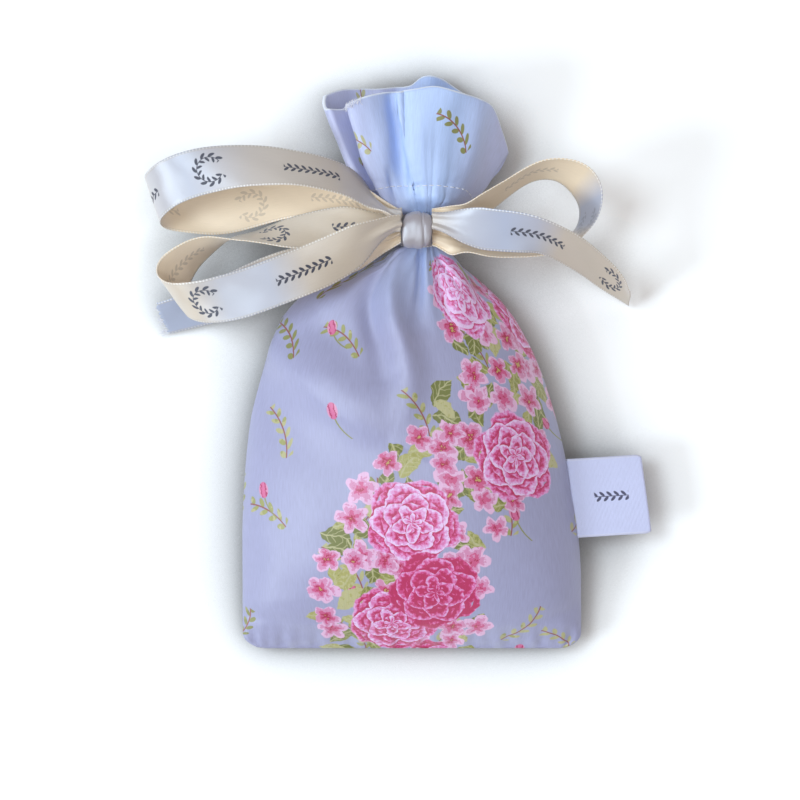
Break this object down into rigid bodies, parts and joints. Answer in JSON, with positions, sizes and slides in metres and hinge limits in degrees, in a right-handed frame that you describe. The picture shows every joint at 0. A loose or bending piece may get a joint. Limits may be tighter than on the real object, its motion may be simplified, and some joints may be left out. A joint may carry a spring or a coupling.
{
  "type": "lavender sachet",
  "caption": "Filled cotton bag lying on its back, its neck tied with a satin ribbon bow under an open frill, with a folded label in one side seam.",
  "frame": {"origin": "middle of the flat patch on the bag's back, on which it lies", "axes": "+Z out of the bag's front, +Y from the bottom seam to the frill, +X to the side with the label"},
  "size_m": [0.1631, 0.1844, 0.0421],
  "materials": {
    "printed_cotton": "satin weave with a printed flower pattern",
    "satin_ribbon": "cream satin, dull on the inner face",
    "label_tape": "smooth white tape",
    "dried_lavender": "dull dried flower buds"
  },
  "bodies": {
    "bag": {"front_panel": "printed_cotton", "back_panel": "printed_cotton", "lavender_filling": "dried_lavender", "left_seam_allowance": "printed_cotton", "right_seam_allowance": "printed_cotton", "bottom_seam_allowance": "printed_cotton", "ribbon_neck_wrap": "satin_ribbon", "ribbon_knot": "satin_ribbon"},
    "left_tail": {"ribbon_left_tail": "satin_ribbon"},
    "upper_loop": {"ribbon_upper_loop": "satin_ribbon"},
    "lower_loop": {"ribbon_lower_loop": "satin_ribbon"},
    "right_loop": {"ribbon_right_loop": "satin_ribbon"},
    "right_tail": {"ribbon_right_tail": "satin_ribbon"},
    "label": {"side_label": "label_tape"}
  },
  "joints": [
    {"name": "left_tail_flex", "type": "hinge", "parent": "bag", "child": "left_tail", "pos_m": [-0.0034, 0.0796, 0.0281], "axis": [0, 1, 0], "range_deg": [-0.5, 6], "stiffness_Nm_per_rad": 0.02},
    {"name": "upper_loop_flex", "type": "hinge", "parent": "left_tail", "child": "upper_loop", "pos_m": [-0.0034, 0.0796, 0.0281], "axis": [0, 1, 0], "range_deg": [0, 6], "stiffness_Nm_per_rad": 0.02},
    {"name": "lower_loop_flex", "type": "hinge", "parent": "upper_loop", "child": "lower_loop", "pos_m": [-0.0034, 0.0796, 0.0281], "axis": [0, 1, 0], "range_deg": [0, 5], "stiffness_Nm_per_rad": 0.02},
    {"name": "right_loop_flex", "type": "hinge", "parent": "bag", "child": "right_loop", "pos_m": [0.0066, 0.0796, 0.029], "axis": [0, -1, 0], "range_deg": [-2, 10], "stiffness_Nm_per_rad": 0.02},
    {"name": "right_tail_flex", "type": "hinge", "parent": "right_loop", "child": "right_tail", "pos_m": [0.0066, 0.0796, 0.029], "axis": [0, -1, 0], "range_deg": [-2, 4.5], "stiffness_Nm_per_rad": 0.02},
    {"name": "label_flex", "type": "hinge", "parent": "bag", "child": "label", "pos_m": [0.0517, -0.00603, 0.01199], "axis": [0.1132, -0.9936, 0], "range_deg": [-25, 60], "stiffness_Nm_per_rad": 0.005}
  ]
}
